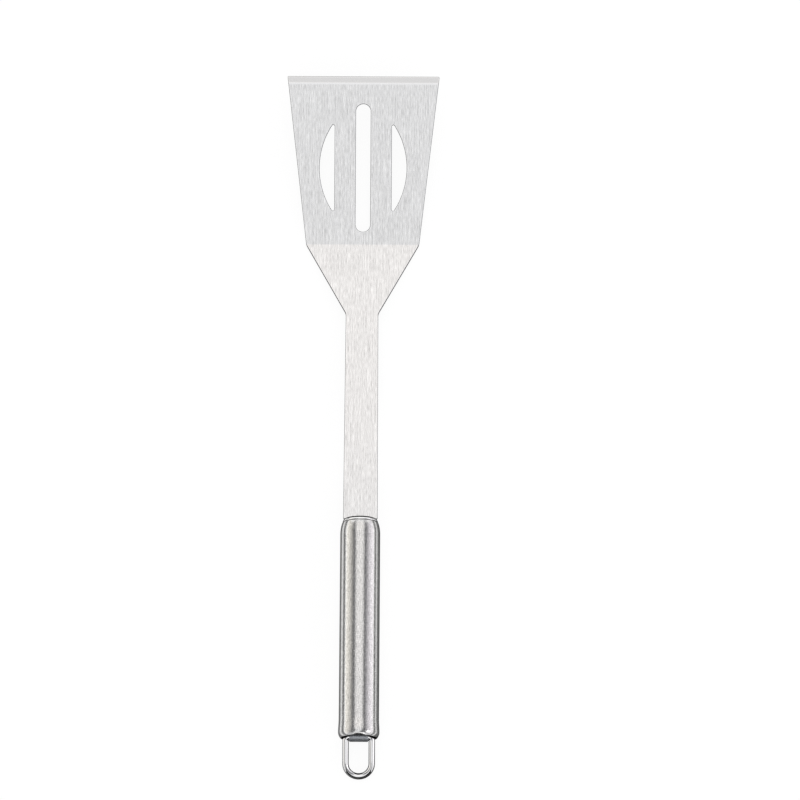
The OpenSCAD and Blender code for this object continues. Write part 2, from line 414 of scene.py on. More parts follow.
rim_in, rim_down, rim_wear_and_highlight, rim_cut = [np.concatenate([half, half[::-1]]) for half in
                                       (upper_in, upper_down, upper_wear_and_highlight, upper_cut)]
rim_above = np.arange(len(rim_in)) < len(upper_in)


def rim_grid(path):
    """Points of the rim along one path, as a grid of profile steps by path points, and marks."""
    inner = cross_rows(into_metal(path, rim_in[0]))
    rings = np.stack([into_metal(inner, inset - rim_in[0]) for inset in rim_in])
    x, s = rings[..., 0], rings[..., 1]
    n = np.where(rim_above[:, None], upper_face(s) - rim_down[:, None],
                 rim_down[:, None] - sheet_t / 2)
    # A light line along the bevel's crease is a painted highlight, carried by the same mark as the wear.
    crease = np.exp(-((s - crease_s + crease_ease) / crease_highlight_reach) ** 2)
    crease = crease * rim_above[:, None]
    # Marks: the light line of wear and painted highlight, the ground bevel, and the dark of cut metal and painted
    # shade.
    marks = {"wear_and_highlight": np.maximum(rim_wear_and_highlight[:, None], crease),
             "ground": (s > crease_s) * rim_above[:, None],
             "cut": np.broadcast_to(rim_cut[:, None], s.shape)}
    return on_sheet(x, s, n), inner, marks


# %% [markdown]
# ## The flats between the rims
#
# What is left is a flat with three holes. A constrained triangulation fills it: the
# inner rings and the rows are its fixed edges, and triangles whose middle lies outside
# the metal are dropped. A middle lies inside if a line from it crosses the paths an odd
# number of times. Four far corners round the whole keep slivers off the straight sides.
# The same triangles, turned over, make the underside.

# %% Fill the flats
ON_ROW, WELD = 1e-9, 1e-7


def row_edges(flat, path_of):
    """An edge between the two ends of each row, which lie on the outline."""
    edges = []
    for row in rows:
        ends = np.nonzero((np.abs(flat[:, 1] - row) < ON_ROW) & (path_of == 0))[0]
        if len(ends) > 1:
            edges.append((ends[np.argmin(flat[ends, 0])], ends[np.argmax(flat[ends, 0])]))
    return edges


def inside_metal(spots, starts, ends):
    """True where a ray towards +x crosses the paths' sides an odd number of times."""
    level = spots[:, None, 1]
    spans = (starts[:, 1] > level) != (ends[:, 1] > level)
    rise = np.where(ends[:, 1] == starts[:, 1], 1, ends[:, 1] - starts[:, 1])
    cut_x = starts[:, 0] + (level - starts[:, 1]) / rise * (ends[:, 0] - starts[:, 0])
    return np.sum(spans & (cut_x > spots[:, None, 0]), axis=1) % 2 == 1


def fill_flats(inner_paths):
    """Triangles between the inner rings, as numbers of their points."""
    flat = np.concatenate(inner_paths)
    counts = [len(path) for path in inner_paths]
    firsts = np.cumsum([0] + counts[:-1])
    after = np.concatenate([first + np.roll(np.arange(count), -1)
                            for first, count in zip(firsts, counts)])
    path_of = np.repeat(np.arange(len(counts)), counts)
    fixed = np.concatenate([np.column_stack([np.arange(len(flat)), after]),
                            row_edges(flat, path_of)]).tolist()
    low, high = flat.min(axis=0) - blade_front_w, flat.max(axis=0) + blade_front_w
    surround = [low, (high[0], low[1]), high, (low[0], high[1])]
    corners = [Vector(point) for point in np.vstack([flat, surround]).tolist()]
    found = delaunay_2d_cdt(corners, fixed, [], 0, WELD)
    if len(found[0]) != len(corners):
        raise ValueError("a row crosses a path between its points")
    triangles = np.array(found[2])
    triangles = triangles[np.all(triangles < len(flat), axis=1)]
    return triangles[inside_metal(flat[triangles].mean(axis=1), flat, flat[after])]


# %% Blade, neck and shank
def blade_and_shank():
    """Rims along all four paths, and the flats between them above and below."""
    grids = [rim_grid(path) for path in [outline] + slots]
    steps = len(rim_in)
    points, faces, top, bottom, first = [], [], [], [], 0
    for grid, inner, _ in grids:
        columns = len(inner)
        points.append(grid.reshape(-1, 3))
        faces += (np.array(grid_faces(steps, columns)) + first).tolist()
        top.append(first + np.arange(columns))
        bottom.append(first + (steps - 1) * columns + np.arange(columns))
        first += steps * columns
    triangles = fill_flats([inner for _, inner, _ in grids])
    faces += np.concatenate(top)[triangles[:, ::-1]].tolist()
    faces += np.concatenate(bottom)[triangles].tolist()
    marks = {name: np.concatenate([made[name].ravel() for _, _, made in grids])
             for name in ("wear_and_highlight", "ground", "cut")}
    return make_piece("blade_and_shank_steel", "blade_and_shank",
                      np.concatenate(points), faces, **marks)


blade_piece = blade_and_shank()

# %% [markdown]
# ## Turning a profile about the handle's axis
#
# Tube and caps are round, so each is a closed profile turned about the handle's axis:
# the point at a radius and an angle lies at (radius sin, along, axis + radius cos). A
# share can draw a row of the profile from its circle towards a slot's outline, which is
# how a round cap gets its straight slot. The slot's outline is a superellipse, a root of
# the cosine and the sine, which is nearly a rectangle with round corners.

# %% Turn a profile
TURNS = 160
turn_angle = np.arange(TURNS) * 2 * math.pi / TURNS
squareness = 0.12


def turned(profile, slot_size):
    """Points of a turned profile of (radius, along, share of the slot's outline)."""
    radius, along, share = np.array(profile).T[:, :, None]
    sine, cosine = np.sin(turn_angle), np.cos(turn_angle)
    slot_x = slot_size[0] / 2 * np.sign(sine) * np.abs(sine) ** squareness
    slot_z = slot_size[1] / 2 * np.sign(cosine) * np.abs(cosine) ** squareness
    x = radius * sine * (1 - share) + slot_x * share
    z = radius * cosine * (1 - share) + slot_z * share
    return np.stack([x, np.broadcast_to(tail_mouth_y + along, x.shape), axis_z + z], axis=-1)


def plain_rows(points):
    """Rows of a turned profile that stay round: (radius, along) with no share of a slot."""
    return np.column_stack([points, np.zeros(len(points))])


def make_turned(name, node, profile, slot_size=(1, 1), **marks):
    """Makes a turned piece. Its marks are numbers, one a row of the profile."""
    return make_piece(name, node, turned(profile, slot_size),
                      grid_faces(len(profile), TURNS, rows_close=True),
                      **{mark: np.repeat(values, TURNS) for mark, values in marks.items()})


# %% [markdown]
# ## The handle tube
#
# The tube is drawn from thin stainless: straight for most of its length, drawn in over
# a long round nose at the front, and swelled a little at the tail, where a lip is
# rolled in. Both faces of its wall follow the same centres, a wall's thickness apart,
# and full rounds close the wall at its two ends.

# %% Sizes of the handle
handle_r = 9.5 * MM
tube_wall = 0.6 * MM
nose_r = 17.5 * MM
nose_len = 7.5 * MM
bulge_len = 2.8 * MM
lip_r = 4.1 * MM
flare_len = 6.2 * MM
seam_r = 0.35 * MM
LIP_STEPS, FLARE_STEPS, NOSE_STEPS, END_STEPS, ROUND_STEPS = 14, 12, 16, 12, 8

nose_start = cap_face - nose_len
nose_centre_r = handle_r - nose_r
print(f"the nose starts {nose_start / MM:.1f} mm from the tail's mouth")


def nose_edge(past, radius, side):
    """A small round from the nose's curve to a plane across it, which faces side.

    Its centre lies one radius behind the plane, and inside the nose's circle by the same
    radius, so the round touches both.
    """
    from_start = past - side * radius
    across = math.sqrt((nose_r - radius) ** 2 - from_start ** 2)
    start = math.atan2(from_start, across)
    centre = (nose_centre_r + across, nose_start + from_start)
    return arc(centre, radius, start, side * math.pi / 2, ROUND_STEPS)


def tube_side(depth):
    """One face of the wall from the lip to the nose, a depth inside the outer face."""
    swing = math.asin((bulge_len - tube_wall / 2) / (lip_r - tube_wall / 2))
    lip = arc((tail_r - lip_r, bulge_len), lip_r - depth, -swing, 0, LIP_STEPS)
    share = np.linspace(0, 1, FLARE_STEPS + 1)[1:, None]
    swell = (1 + np.cos(math.pi * share)) / 2
    flare = np.hstack([handle_r - depth + (tail_r - handle_r) * swell,
                       bulge_len + flare_len * share])
    nose_angle = np.linspace(0, math.asin((tube_len - nose_start) / nose_r), NOSE_STEPS + 1)
    nose = np.column_stack([nose_centre_r + (nose_r - depth) * np.cos(nose_angle),
                            nose_start + nose_r * np.sin(nose_angle)])
    return lip, flare, nose


tube_seam_dark = 0.6
UNMARKED_STEPS, UNMARKED_LIP = 3, 4


def handle_tube():
    """The wall's closed profile, turned about the axis, and the marks of painted shade on it.

    The nose's round is darkened for residue and as painted shade, and the inner wall is
    painted dark as shade; the first steps of that round and the outer steps of the lip stay
    unmarked.
    """
    lip, flare, nose = tube_side(0)
    inner_lip, inner_flare, inner_nose = tube_side(tube_wall)
    edge = nose_edge(tube_len - nose_start, seam_r, 1)
    outer = np.concatenate([lip, flare, nose[nose[:, 1] < edge[0, 1]], edge])
    inner = np.concatenate([inner_lip, inner_flare, inner_nose])[::-1]
    lip_middle = (lip[0] + inner_lip[0]) / 2
    end_turn = math.atan2(*(lip[0] - inner_lip[0])[::-1])
    lip_round = arc(lip_middle, tube_wall / 2, end_turn - math.pi, end_turn, END_STEPS)[1:-1]
    profile = np.concatenate([outer, inner, lip_round])
    # Painted shade: the round at the nose's joint is darkened, also for residue.
    seam = np.zeros(len(profile))
    seam[len(outer) - len(edge) + UNMARKED_STEPS:len(outer) + 1] = tube_seam_dark
    # Painted shade: the inner wall is painted dark.
    raw = np.zeros(len(profile))
    raw[len(outer):-UNMARKED_LIP] = 1
    return make_turned("handle_tube_steel", "handle_tube", plain_rows(profile), raw=raw, seam=seam)


tube_piece = handle_tube()

# %% [markdown]
# ## The two caps
#
# The front cap is a pressed plug: its rim carries the nose's curve on to a flat face,
# and its skirt sits inside the tube. The shank's shoulders close its slot. The tail cap
# is a shallow cup, set back in the tail's mouth, and the strap goes through its slot.

# %% Front cap
fixed_gap = 0.05 * MM
cap_wall = 0.8 * MM
front_cap_t = 1.2 * MM
front_skirt_len = 5 * MM
cap_seam_r = 0.5 * MM
cap_seam_dark = 0.75
face_round = 1.4 * MM


def front_cap():
    """Slot, face, rim, the round at the joint with the tube, and skirt as one closed profile."""
    past_seam = tube_len - nose_start
    skirt_r = nose_centre_r + math.sqrt((nose_r - tube_wall) ** 2 - past_seam ** 2) - fixed_gap
    face_edge = nose_edge(nose_len, face_round, 1)[::-1]
    seam_edge = nose_edge(past_seam, cap_seam_r, -1)
    rim = arc((nose_centre_r, nose_start), nose_r, math.asin(nose_len / nose_r),
              math.asin(past_seam / nose_r), ROUND_STEPS)
    rim = rim[(rim[:, 1] < face_edge[-1, 1]) & (rim[:, 1] > seam_edge[0, 1])]
    skirt = [(skirt_r, tube_len), (skirt_r, tube_len - front_skirt_len),
             (skirt_r - cap_wall, tube_len - front_skirt_len),
             (skirt_r - cap_wall, cap_face - front_cap_t)]
    rounds = np.concatenate([face_edge, rim, seam_edge, skirt])
    slot_rows = [[0, cap_face - front_cap_t, 1], [0, cap_face, 1]]
    profile = np.concatenate([slot_rows, plain_rows(rounds)])
    slot_size = np.array([tang_w, sheet_t]) + 2 * fixed_gap
    seam = np.zeros(len(profile))
    face_first = len(slot_rows)
    seam_first = face_first + len(face_edge) + len(rim)
    # The round at the joint is darkened for residue and as painted shade.
    seam[seam_first + UNMARKED_STEPS:seam_first + len(seam_edge) + 1] = cap_seam_dark
    # Painted shade: the edge of the face is painted fully dark.
    seam[face_first:face_first + len(face_edge)] = 1
    return make_turned("front_cap_steel", "front_cap", profile, slot_size, seam=seam)


front_cap_piece = front_cap()

# %% Tail cap
tail_cap_in = 3.3 * MM
tail_cap_len = 6 * MM
tail_cap_round = 0.6 * MM
strap_w = 8.8 * MM
strap_t = 0.8 * MM


def tail_cap():
    """A cup: slotted face, rounded shoulder and skirt as one closed profile."""
    cup_r = handle_r - tube_wall - fixed_gap
    shoulder = arc((cup_r - tail_cap_round, tail_cap_in + tail_cap_round), tail_cap_round,
                   -math.pi / 2, 0, ROUND_STEPS)
    skirt = [(cup_r, tail_cap_in + tail_cap_len), (cup_r - cap_wall, tail_cap_in + tail_cap_len),
             (cup_r - cap_wall, tail_cap_in + cap_wall)]
    slot_rows = [[0, tail_cap_in + cap_wall, 1], [0, tail_cap_in, 1]]
    profile = np.concatenate([slot_rows, plain_rows(np.concatenate([shoulder, skirt]))])
    slot_size = np.array([strap_w, 2 * strap_t]) + 2 * fixed_gap
    return make_turned("tail_cap_steel", "tail_cap", profile, slot_size)


tail_cap_piece = tail_cap()

# %% [markdown]
# ## The rolled strap
#
# A strip of steel is rolled round the loop's wire into an eye. Its two ends lie
# together, go through the tail cap's slot and are spread behind it. The strip is one
# cross-section, a rectangle with rounded corners, carried along the folded line: a
# spread end, a leg, a small outward round, the eye, and the same back again.

# %% The strap's folded line
wire_r = 1.5 * MM
pivot_gap = 0.06 * MM
clinch_len = 2.6 * MM
clinch_r = 0.55 * MM
eye_r = wire_r + pivot_gap + strap_t / 2
throat_r = 0.85 * MM
strip_corner_r = 0.15 * MM
CLINCH_STEPS, THROAT_STEPS, EYE_STEPS = 8, 10, 36

pivot_in = pivot_y - tail_mouth_y
behind = tail_cap_in + cap_wall + fixed_gap + strap_t / 2


def folded_line():
    """The strap's middle line as (along, up): the upper half, then its mirror image.

    The throat's round touches the leg and the eye, so its centre is a throat's radius
    above the leg and the sum of both radii away from the pivot.
    """
    throat_up = strap_t / 2 + throat_r
    throat_along = pivot_in + math.sqrt((eye_r + throat_r) ** 2 - throat_up ** 2)
    meet = math.atan2(throat_up, throat_along - pivot_in)
    clinch = arc((behind - clinch_r, strap_t / 2 + clinch_r), clinch_r, 0, -math.pi / 2, CLINCH_STEPS)
    throat = arc((throat_along, throat_up), throat_r, -math.pi / 2, meet - math.pi, THROAT_STEPS)
    eye = arc((pivot_in, 0), eye_r, meet, math.pi, EYE_STEPS)
    spread_end = [[behind, strap_t + clinch_len]]
    upper = np.concatenate([spread_end, clinch, throat, eye[1:]])
    return np.concatenate([upper, (upper * [1, -1])[-2::-1]])


# %% Carry the strip along its line
def strip_section(width, thickness, corner):
    """A rectangle with rounded corners, as (across, up)."""
    x, up = width / 2, thickness / 2
    return rounded_path([(x, -up, corner), (x, up, corner), (-x, up, corner), (-x, -up, corner)])


def hinge_strap():
    """The section's points moved across, and square to the line by their height."""
    line = folded_line()
    square_on = left_of(np.gradient(line, axis=0))
    section = strip_section(strap_w, strap_t, strip_corner_r)
    up = section[None, :, 1:]
    place = line[:, None, :] + square_on[:, None, :] * up
    across = np.broadcast_to(section[:, 0], place.shape[:2])
    points = np.stack([across, tail_mouth_y + place[..., 0], axis_z + place[..., 1]], axis=-1)
    columns = len(section)
    faces = grid_faces(len(line), columns)
    faces.append(list(range(columns))[::-1])
    faces.append([(len(line) - 1) * columns + at for at in range(columns)])
    return make_piece("hinge_strap_steel", "hinge_strap", points, faces)


strap_piece = hinge_strap()

# %% [markdown]
# ## The hanging loop
#
# The loop is 3 mm wire, bent into a closed link: a short bar through the strap, two
# tight corners, two legs and a half circle. A circle is carried along that line. Each
# point of the circle lies outwards from the line by the cosine of its angle and up out
# of the link's plane by the sine. The link lies tilted, with its end on the table.

# %% The loop's line and wire
loop_half_w = (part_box("hanging_loop")[1].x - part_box("hanging_loop")[0].x) / 2 - wire_r
loop_reach = 19.2 * MM
loop_corner_r = 2 * MM
BEND_STEPS, LEG_POINTS, HALF_END_STEPS, WIRE_SIDES = 16, 9, 32, 40


def hanging_loop():
    """The wire's circle carried round the link, which is tilted about the pivot."""
    droop = math.asin((axis_z - wire_r) / loop_reach)
    leg_end = loop_reach - loop_half_w
    bar_end = loop_half_w - loop_corner_r
    quarter = math.pi / 2
    corner = arc((bar_end, -loop_corner_r), loop_corner_r, quarter, 0, BEND_STEPS)
    leg = np.column_stack([np.full(LEG_POINTS, loop_half_w),
                           np.linspace(-loop_corner_r, -leg_end, LEG_POINTS)])
    end = arc((0, -leg_end), loop_half_w, 0, -quarter, HALF_END_STEPS)
    half = np.concatenate([corner, leg[1:-1], end])
    line = np.concatenate([half, (half * [-1, 1])[-2::-1]])
    outwards = left_of(np.roll(line, -1, axis=0) - np.roll(line, 1, axis=0))
    angle = np.arange(WIRE_SIDES) * 2 * math.pi / WIRE_SIDES
    flat = line[:, None, :] + outwards[:, None, :] * wire_r * np.cos(angle)[:, None]
    up = np.broadcast_to(wire_r * np.sin(angle), flat.shape[:2])
    y = pivot_y + flat[..., 1] * math.cos(droop) - up * math.sin(droop)
    z = axis_z + flat[..., 1] * math.sin(droop) + up * math.cos(droop)
    return make_piece("hanging_loop_wire", "hanging_loop", np.stack([flat[..., 0], y, z], axis=-1),
                      grid_faces(len(line), WIRE_SIDES, rows_close=True))


loop_piece = hanging_loop()

# %% [markdown]
# ## Shader nodes in one line each
#
# A material is a small network. These helpers add a node, set its fields, and either
# fill its inputs with numbers or link them to the sockets that feed them.

# %% Helpers for node trees
def add(tree, kind, inputs, output=0, **fields):
    """Adds a node. Each input is a plain value or the socket that feeds it."""
    made = tree.nodes.new(kind)
    for field, value in fields.items():
        setattr(made, field, value)
    for key, value in inputs.items():
        if isinstance(value, bpy.types.NodeSocket):
            tree.links.new(value, made.inputs[key])
        else:
            made.inputs[key].default_value = value
    return made.outputs[output]


def maths(tree, operation, *values):
    """One sum, product or other operation on numbers."""
    return add(tree, "ShaderNodeMath", dict(enumerate(values)), operation=operation)


def vector_maths(tree, operation, *values, output=0):
    """One operation on vectors. A dot product comes out of the second socket."""
    return add(tree, "ShaderNodeVectorMath", dict(enumerate(values)), output,
               operation=operation)


def mixed_colour(tree, share, first, second):
    """The first colour where the share is 0, and the second where it is 1."""
    return add(tree, "ShaderNodeMix", {0: share, 6: first, 7: second}, output=2, data_type="RGBA")


def link_all(tree, ends, values):
    """Links each value to the end of the same name."""
    for name, value in values.items():
        tree.links.new(value, ends[name])


def bare_tree(owner):
    """Gives a material or the world an empty node tree, and returns it."""
    owner.use_nodes = True
    owner.node_tree.nodes.clear()
    return owner.node_tree


def show(tree, shader, kind="ShaderNodeOutputMaterial"):
    """Sends a finished shader to the tree's output."""
    tree.links.new(shader, tree.nodes.new(kind).inputs["Surface"])


def new_group(name, inputs, outputs):
    """Starts a node group with named sockets, and returns it with its inner ends."""
    group = bpy.data.node_groups.new(name, "ShaderNodeTree")
    for socket, (kind, value) in inputs.items():
        made = group.interface.new_socket(socket, in_out="INPUT", socket_type=kind)
        made.default_value = value
    for socket, kind in outputs.items():
        group.interface.new_socket(socket, in_out="OUTPUT", socket_type=kind)
    return group, group.nodes.new("NodeGroupInput").outputs, group.nodes.new("NodeGroupOutput").inputs


# %% [markdown]
# ## Hairline grain
#
# Brushing with an abrasive belt leaves fine scratches, far longer than they are wide.
# Noise stretched along the brushing gives them: the coordinates are divided by the
# scratch's width across and its length along. A second noise, five times as long, adds
# the scratches that run on. Two noises have a middle of 1 together, which is taken out of
# their sum. What is left lightens the colour, roughens the surface and raises it a
# little, so all three agree.

# %% The hairline group
NUMBER, VECTOR, COLOR = "NodeSocketFloat", "NodeSocketVector", "NodeSocketColor"

hairline, given, result = new_group(
    "hairline_grain",
    {"Place": (VECTOR, (0, 0, 0)), "Steel": (COLOR, (0.8, 0.8, 0.8, 1)),
     "Width": (NUMBER, 0.0005), "Length": (NUMBER, 0.02), "Contrast": (NUMBER, 0.05),
     "Roughness": (NUMBER, 0.2), "Roughness Spread": (NUMBER, 0.05)},
    {"Color": COLOR, "Roughness": NUMBER, "Height": NUMBER})

LONGER, STREAK_GAIN = 5, 3.0
across = maths(hairline, "DIVIDE", 1.0, given["Width"])
lengthwise = maths(hairline, "DIVIDE", 1.0, given["Length"])
stretch = add(hairline, "ShaderNodeCombineXYZ", {0: across, 1: lengthwise, 2: across})
stretched = vector_maths(hairline, "MULTIPLY", given["Place"], stretch)
drawn_out = vector_maths(hairline, "MULTIPLY", stretched, (1, 1 / LONGER, 1))
short = add(hairline, "ShaderNodeTexNoise", {"Vector": stretched, "Scale": 1.0, "Detail": 1.0})
long = add(hairline, "ShaderNodeTexNoise", {"Vector": drawn_out, "Scale": 1.0, "Detail": 1.0})
both = maths(hairline, "ADD", short, long)
streak = maths(hairline, "MULTIPLY_ADD", both, STREAK_GAIN, -STREAK_GAIN)
lighter = maths(hairline, "MULTIPLY_ADD", streak, given["Contrast"], 1.0)
grained = add(hairline, "ShaderNodeVectorMath", {0: given["Steel"], "Scale": lighter},
              operation="SCALE")
rougher = maths(hairline, "MULTIPLY_ADD", streak, given["Roughness Spread"], given["Roughness"])
link_all(hairline, result, {"Color": grained, "Roughness": rougher, "Height": streak})
print(hairline.name, "has", len(hairline.nodes), "nodes")

# %% [markdown]
# ## Greys by a mark
#
# The meshes carry marks that are 1 where a grey is given and 0 elsewhere, and this group
# turns the steel there to that grey and another roughness. Handling and washing polish a
# part's edges, so one grey is partly wear; the rest is painted light: a painted highlight
# beside the blade's rims, and painted shade on rounds, seams, the front cap's face edge
# and inside the tube.

# %% The grey-by-mark group
grey_by_mark, given, result = new_group(
    "wear_and_painted_light",
    {"Color": (COLOR, (0.8, 0.8, 0.8, 1)), "Roughness": (NUMBER, 0.2), "Mark": (NUMBER, 0.0),
     "Marked Grey": (COLOR, (0.95, 0.95, 0.95, 1)), "Smooth": (NUMBER, 0.12)},
    {"Color": COLOR, "Roughness": NUMBER})

marked_colour = mixed_colour(grey_by_mark, given["Mark"], given["Color"], given["Marked Grey"])
smoothed = add(grey_by_mark, "ShaderNodeMix", {0: given["Mark"], 2: given["Roughness"],
                                          3: given["Smooth"]}, data_type="FLOAT")
link_all(grey_by_mark, result, {"Color": marked_colour, "Roughness": smoothed})
print(grey_by_mark.name, "has", len(grey_by_mark.nodes), "nodes")


def grouped(tree, group, inputs):
    """Places a node group in a material and returns its outputs by name."""
    return add(tree, "ShaderNodeGroup", inputs, node_tree=group).node.outputs


# %% Start a steel material
grain_depth = 0.02 * MM


def new_steel(name):
    """A metallic material, with its tree, its shader and the object's coordinates."""
    material = bpy.data.materials.new(name)
    tree = bare_tree(material)
    shader = add(tree, "ShaderNodeBsdfPrincipled", {"Metallic": 1.0})
    show(tree, shader)
    place = add(tree, "ShaderNodeTexCoord", {}, output="Object")
    return material, tree, shader.node.inputs, place


def mark(tree, name):
    """The mark that a mesh carries at each of its points."""
    return add(tree, "ShaderNodeAttribute", {}, output="Fac", attribute_name=name)


def greyed_by_mark(tree, before, name, smooth, grey):
    """Colour and roughness, changed to another grey and smoothness where the mark is."""
    return grouped(tree, grey_by_mark, {"Color": before["Color"], "Roughness": before["Roughness"],
                                   "Mark": mark(tree, name), "Smooth": smooth,
                                   "Marked Grey": (*grey, 1)})


def dress(tree, shader, finish, height, strength):
    """Links a finish to the shader, with the grain's height as a slight relief."""
    relief = add(tree, "ShaderNodeBump", {"Strength": strength, "Distance": grain_depth,
                                          "Height": height})
    link_all(tree, shader, {"Base Color": finish["Color"], "Roughness": finish["Roughness"],
                            "Normal": relief})


# %% [markdown]
# ## Brushed sheet
#
# The blade and shank are brushed lengthwise before the press bends them. Height is
# taken out of the coordinates, so that a scratch follows the sheet up its slopes. The
# ground bevel is a shade darker, because its scratches run across.

# %% Brushed sheet for the blade and shank
bevel_steel = (0.63, 0.64, 0.65, 1)
sheet_steel, tree, shader, place = new_steel("brushed_sheet")
in_sheet = vector_maths(tree, "MULTIPLY", place, (1, 1, 0))
grain = grouped(tree, hairline, {"Place": in_sheet, "Steel": (0.76, 0.76, 0.76, 1),
                                 "Width": 0.32 * MM, "Length": 3 * MM, "Contrast": 0.25,
                                 "Roughness": 0.24, "Roughness Spread": 0.04})
bevelled = mixed_colour(tree, mark(tree, "ground"), grain["Color"], bevel_steel)
ground = {"Color": bevelled, "Roughness": grain["Roughness"]}
# Painted highlight and shade on the rims: the first mark lightens the flat beside each round and the crease, also
# for wear; the second darkens the rounds and walls, also for the cut metal.
edges = greyed_by_mark(tree, ground, "wear_and_highlight", smooth=0.15, grey=(0.86, 0.86, 0.86))
painted_rims = greyed_by_mark(tree, edges, "cut", smooth=0.35, grey=(0.24, 0.24, 0.25))
dress(tree, shader, painted_rims, grain["Height"], strength=0.12)
blade_piece.data.materials.append(sheet_steel)
print("brushed_sheet is on", blade_piece.name)

# %% [markdown]
# ## Satin tube and caps
#
# The tube is polished and then lightly satined, so it mirrors the studio's lights as
# clear bands with a fine grain. A mark darkens the seam between tube and cap, for the dark
# residue that polish and washing-up leave there and as painted shade, and paints the edge
# of the front cap's face dark as painted shade. Another mark paints the inside of the tube
# nearly black as shade, and the tail cap, set back in the mouth, is near-black steel as
# painted shade.

# %% Satin steel
def satin(name, steel, roughness, width, length, contrast, relief):
    """Satin steel with a fine grain, painted dark inside as shade and dark at its joints for residue and as
    painted shade.
    """
    material, tree, shader, place = new_steel(name)
    grain = grouped(tree, hairline, {"Place": place, "Steel": steel, "Width": width,
                                     "Length": length, "Contrast": contrast,
                                     "Roughness": roughness, "Roughness Spread": 0.03})
    # Painted shade: the inside of the tube is turned nearly black.
    inside = greyed_by_mark(tree, grain, "raw", smooth=0.5, grey=(0.10, 0.10, 0.10))
    # Darker at the joints, for residue and as painted shade, and painted dark on the front cap's face edge.
    seam = greyed_by_mark(tree, inside, "seam", smooth=0.5, grey=(0.04, 0.04, 0.04))
    dress(tree, shader, seam, grain["Height"], relief)
    return material


# Each finish: piece, name, steel, roughness, grain width, grain length, contrast, relief.
for piece, *finish in [
        (tube_piece, "satin_tube", (0.68, 0.677, 0.67, 1), 0.12, 0.3 * MM, 0.45 * MM, 0.30, 0.35),
        (front_cap_piece, "turned_cap", (0.93, 0.93, 0.93, 1), 0.26, 0.3 * MM, 0.3 * MM, 0.06, 0.2),
        # The tail cap's near-black steel is painted shade of the mouth it sits in.
        (tail_cap_piece, "recessed_cap", (0.09, 0.095, 0.10, 1), 0.35, 0.4 * MM, 0.4 * MM, 0.06, 0.2),
        (strap_piece, "rolled_strap", (0.50, 0.525, 0.555, 1), 0.50, 3 * MM, 0.4 * MM, 0.10, 0.15),
        (loop_piece, "polished_wire", (0.86, 0.86, 0.865, 1), 0.03, 0.5 * MM, 6 * MM, 0.01, 0.05)]:
    piece.data.materials.append(satin(*finish))
    print(finish[0], "is on", piece.name)

# %% [markdown]
# ## The floor
#
# The tool lies on a pale sweep, flat for metres round it and turned up at its far edge,
# so that no view looks past it. It takes the shadow like paper. Where the camera looks
# at it, a share of plain white lifts it to the white of a catalogue, and a smaller
# share does so where a reflection in the steel looks at it.
#
# White paper alone would leave the sides of polished steel without an outline. So a wide
# black card is painted on the paper round the handle, from 5 cm to 30 cm out, fading away
# beyond it, and a painted shadow darkens the paper right under the tool. Only the steel
# sees them. Between the two, a ring of lit paper draws the light line that runs inside
# each outline.

# %% A pale sweep
floor_reach = 12.0
floor_flat = 7.0
floor_rim = 0.3
floor_drop = 0.02 * MM
FLOOR_CELLS = 120


def pale_sweep():
    """Height is zero inside the flat and rises by a smooth step of the distance outside."""
    steps = np.linspace(-floor_reach, floor_reach, FLOOR_CELLS + 1)
    x, y = np.meshgrid(steps, steps)
    share = np.clip((np.hypot(x, y) - floor_flat) / (floor_reach - floor_flat), 0, 1)
    z = floor_rim * share ** 2 * (3 - 2 * share) - floor_drop
    faces = grid_faces(len(steps), len(steps), columns_close=False)
    mesh, sweep = new_mesh("pale_sweep", np.stack([x, y, z], axis=-1), faces)
    mesh.shade_smooth()
    return sweep


sweep = pale_sweep()
print("the sweep has", len(sweep.data.polygons), "faces")

# %% Card and shadow round the handle
card_reach = 700
# Stops: a painted shadow out to about 3 cm from the handle's line, lit paper, then the card, which fades out.
card_stops = [(8, 1.0), (14, 0.80), (27, 0.80), (31, 0.0), (48, 0.0), (54, 0.77), (300, 0.77),
              (600, 0.0)]
card_x = 4.5 * MM
loop_end_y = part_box("hanging_loop")[0].y + wire_r


def card_and_shadow(tree):
    """Share of darkness on the floor, by its distance from the line under the handle.

    The nearest point of the line is the place held between its two ends. Each stop gives
    the share at a distance in millimetres, and the first stop is full dark on the line.
    """
    place = add(tree, "ShaderNodeTexCoord", {}, output="Object")
    below = vector_maths(tree, "MAXIMUM", place, (card_x, loop_end_y, 0))
    held = vector_maths(tree, "MINIMUM", below, (card_x, cap_face_y, 0))
    apart = vector_maths(tree, "DISTANCE", place, held, output=1)
    share = maths(tree, "DIVIDE", apart, card_reach * MM)
    ramp = add(tree, "ShaderNodeValToRGB", {"Fac": share}).node
    stops = ramp.color_ramp.elements
    stops.remove(stops[1])
    stops[0].color = (1, 1, 1, 1)
    for distance, dark in card_stops:
        stops.new(distance / card_reach).color = (dark, dark, dark, 1)
    return ramp.outputs["Color"]


# %% Paper for the sweep
white_seen = 0.85
white_mirrored = 0.80
white_level = 1.07
paper_white = (0.85, 0.85, 0.85, 1)
card_black = (0.02, 0.02, 0.02, 1)

